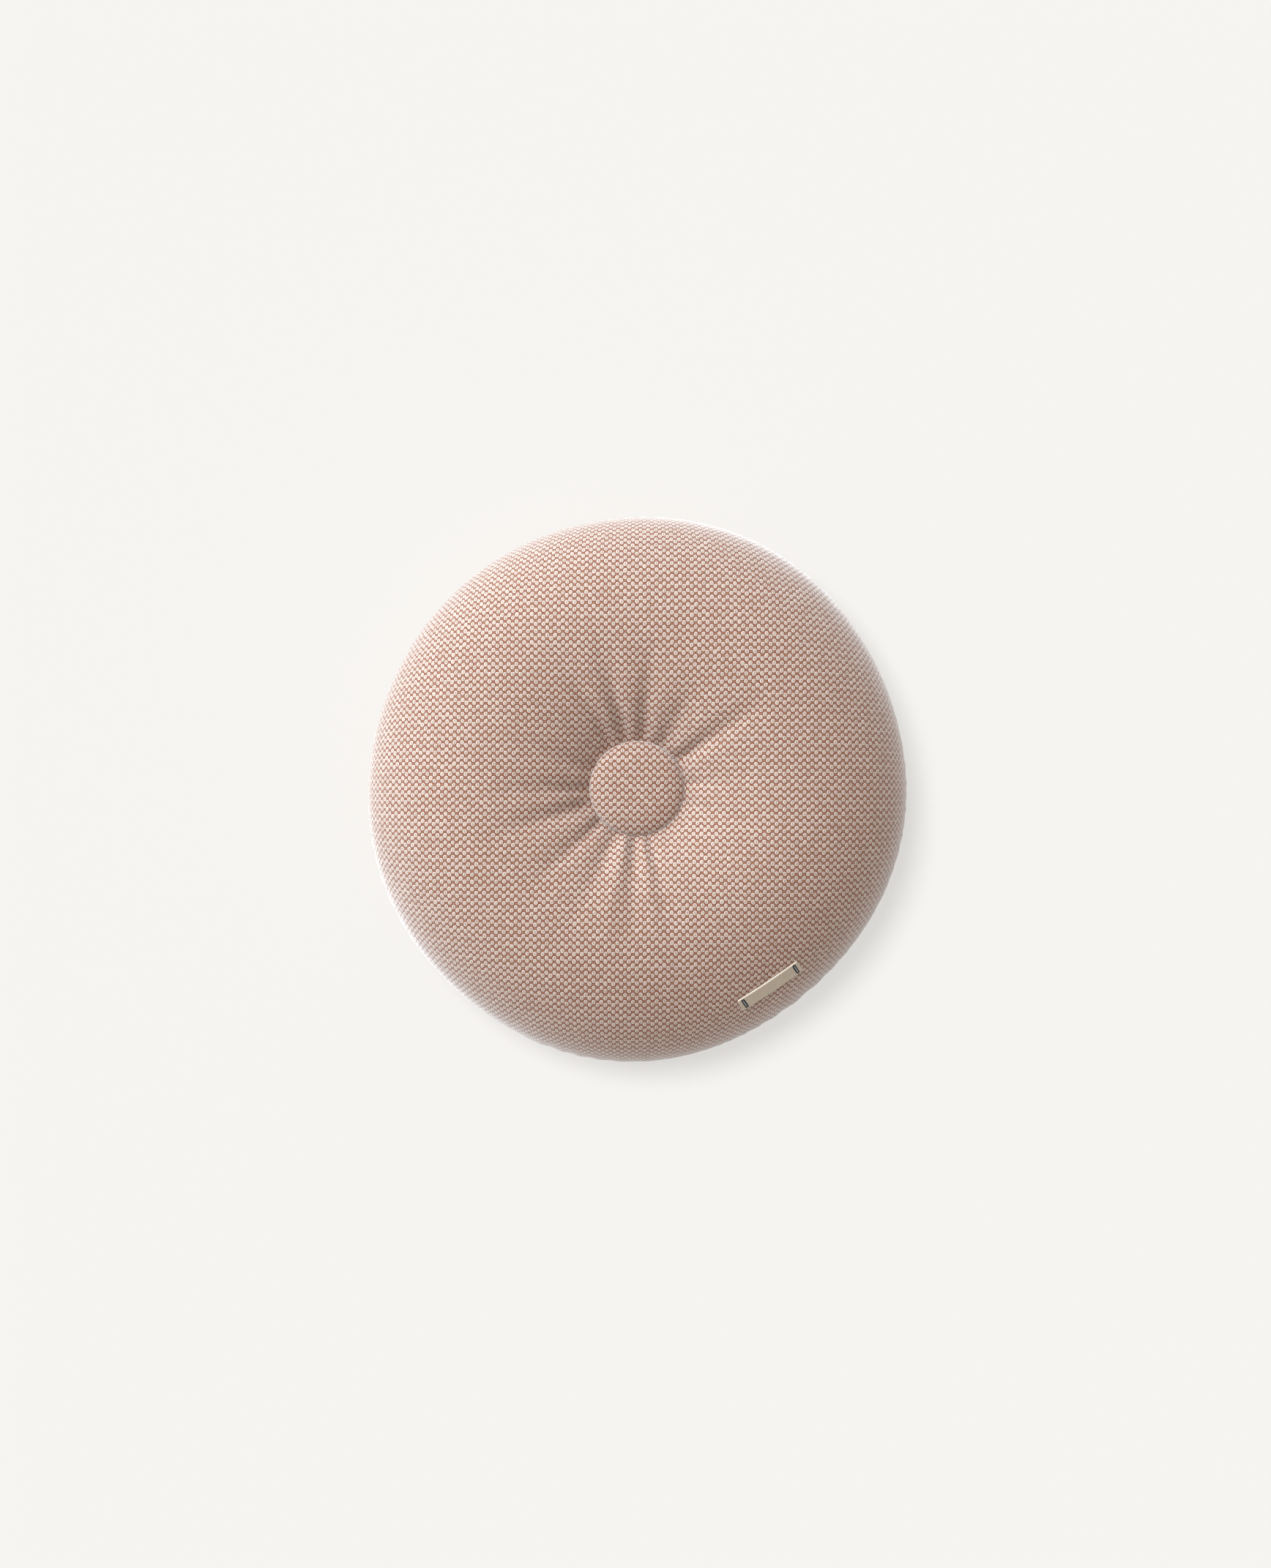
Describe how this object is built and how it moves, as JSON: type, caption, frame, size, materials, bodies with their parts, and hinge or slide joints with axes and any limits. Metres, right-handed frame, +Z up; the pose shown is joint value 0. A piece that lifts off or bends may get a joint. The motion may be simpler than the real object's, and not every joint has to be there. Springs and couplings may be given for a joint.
{
  "type": "chair seat pad",
  "caption": "Plump round seat pad of two sewn cloth panels over foam and wadding, tufted in the middle with a covered button on each face, with a small stapled leather label.",
  "frame": {"origin": "on the surface the pad rests on, under the middle of the pad, where the axis of the two buttons meets that surface", "axes": "+Z up, out of the sitting face; +X to the right and +Y away from a person who stands at the side where the label is; the label is at 56 degrees clockwise from +X"},
  "size_m": [0.38, 0.38, 0.11],
  "materials": {
    "cover_cloth": "matt woven cloth, pale pinkish cream beads ringed by rust threads",
    "sewing_thread": "matt polyester thread",
    "wadding": "fluffy white polyester fibre",
    "foam": "open-cell foam",
    "zinc_plate": "dull zinc-plated pressed steel",
    "steel_wire": "blue-grey drawn steel wire",
    "waxed_twine": "waxed natural twine",
    "label_leather": "smooth taupe leather with paler cut edges"
  },
  "bodies": {
    "pad": {"top_cover": "cover_cloth", "bottom_cover": "cover_cloth", "seam_thread": "sewing_thread", "top_wadding": "wadding", "bottom_wadding": "wadding", "foam_core": "foam", "tufting_twine": "waxed_twine", "label_strip": "label_leather", "left_staple": "steel_wire", "right_staple": "steel_wire"},
    "top_button": {"top_button_cap": "cover_cloth", "top_button_shell": "zinc_plate", "top_button_back_plate": "zinc_plate", "top_button_wire_loop": "steel_wire"},
    "bottom_button": {"bottom_button_cap": "cover_cloth", "bottom_button_shell": "zinc_plate", "bottom_button_back_plate": "zinc_plate", "bottom_button_wire_loop": "steel_wire"}
  },
  "joints": [
    {"name": "top_button_swivel", "type": "hinge", "parent": "pad", "child": "top_button", "pos_m": [0, 0, 0.0888], "axis": [0, 0, 1], "range_deg": [-30, 30], "stiffness_Nm_per_rad": 0.03},
    {"name": "bottom_button_swivel", "type": "hinge", "parent": "pad", "child": "bottom_button", "pos_m": [0, 0, 0.0167], "axis": [0, 0, 1], "range_deg": [-30, 30], "stiffness_Nm_per_rad": 0.03}
  ]
}
